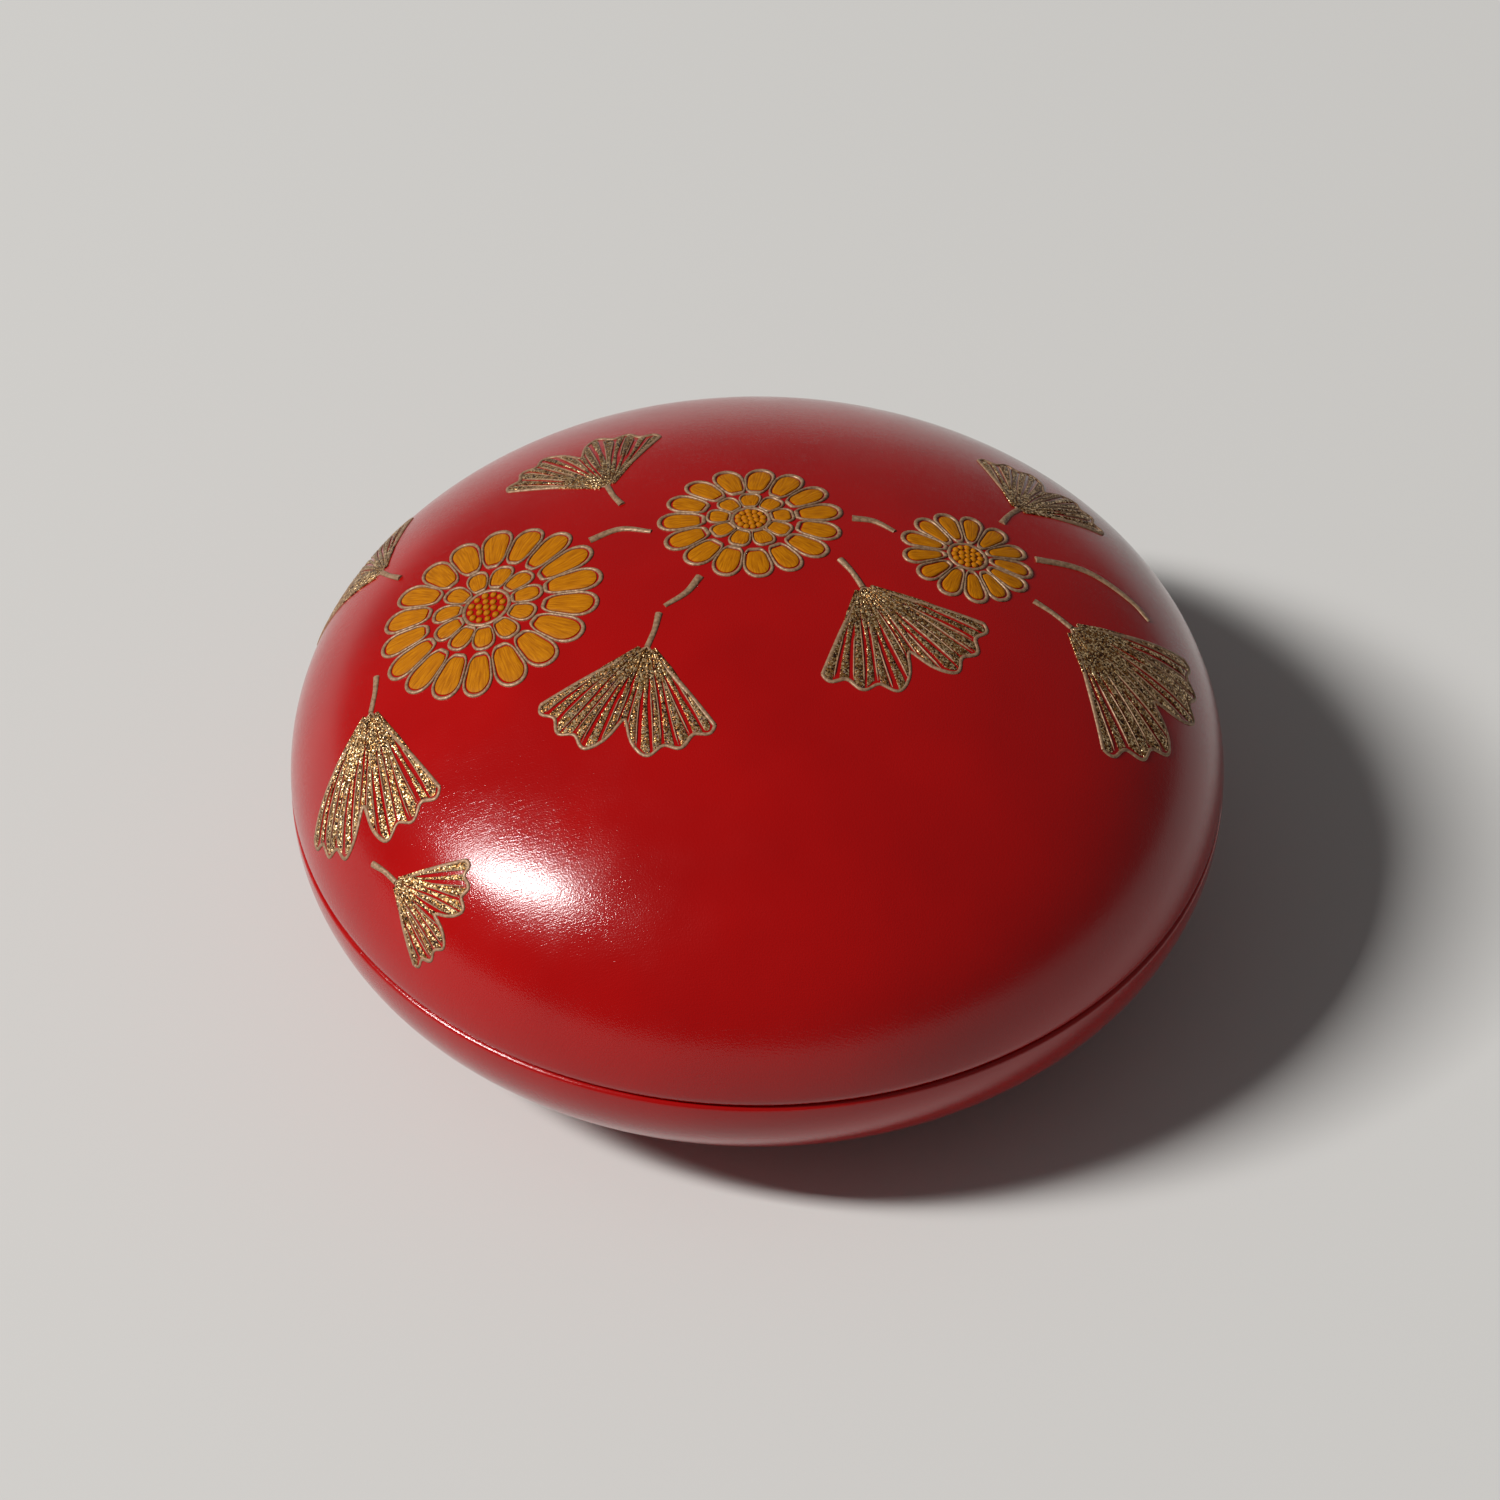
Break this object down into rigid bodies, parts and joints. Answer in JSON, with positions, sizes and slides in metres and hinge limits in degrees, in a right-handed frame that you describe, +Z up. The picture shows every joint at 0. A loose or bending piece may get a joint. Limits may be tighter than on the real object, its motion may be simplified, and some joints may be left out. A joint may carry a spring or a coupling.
{
  "type": "incense box",
  "caption": "Round domed incense box: a lift-off lid over a glued-in flange ring, on a shallow bowl base; red lacquer outside, black inside, raised gold flowers and leaves on the lid.",
  "frame": {"origin": "centre of the foot ring, in the plane that the box stands on", "axes": "+Z up through the top of the lid, +X to the right and -Y towards the viewer of the picture"},
  "size_m": [0.076, 0.076, 0.037],
  "materials": {
    "red_lacquer": "polished vermilion lacquer, satin gloss",
    "black_lacquer": "polished black lacquer",
    "turned_wood": "bare turned wood, hidden under the lacquer",
    "amber_gold": "amber gold brushed over raised lacquer",
    "gold_powder": "coarse sprinkled gold powder",
    "pale_gold": "raised lines of fine pale gold powder"
  },
  "bodies": {
    "base": {"base_core": "turned_wood", "base_outer_lacquer": "red_lacquer", "base_inner_lacquer": "black_lacquer", "base_underside_lacquer": "black_lacquer", "rim_flange": "black_lacquer"},
    "lid": {"lid_core": "turned_wood", "lid_outer_lacquer": "red_lacquer", "lid_inner_lacquer": "black_lacquer", "blossom_large": "amber_gold", "blossom_medium": "amber_gold", "blossom_small": "amber_gold", "ginkgo_leaf_side": "gold_powder", "ginkgo_leaf_back_left": "gold_powder", "ginkgo_leaf_front": "gold_powder", "ginkgo_leaf_back": "gold_powder", "ginkgo_leaf_middle": "gold_powder", "ginkgo_leaf_back_right": "gold_powder", "ginkgo_leaf_right": "gold_powder", "ginkgo_leaf_fallen": "gold_powder", "stem_left": "pale_gold", "stem_middle": "pale_gold", "stem_front": "pale_gold", "tendril_right": "pale_gold"}
  },
  "joints": [
    {"name": "lid_lift", "type": "slide", "parent": "base", "child": "lid", "axis": [0, 0, 1], "range_m": [0, 0.06]}
  ]
}
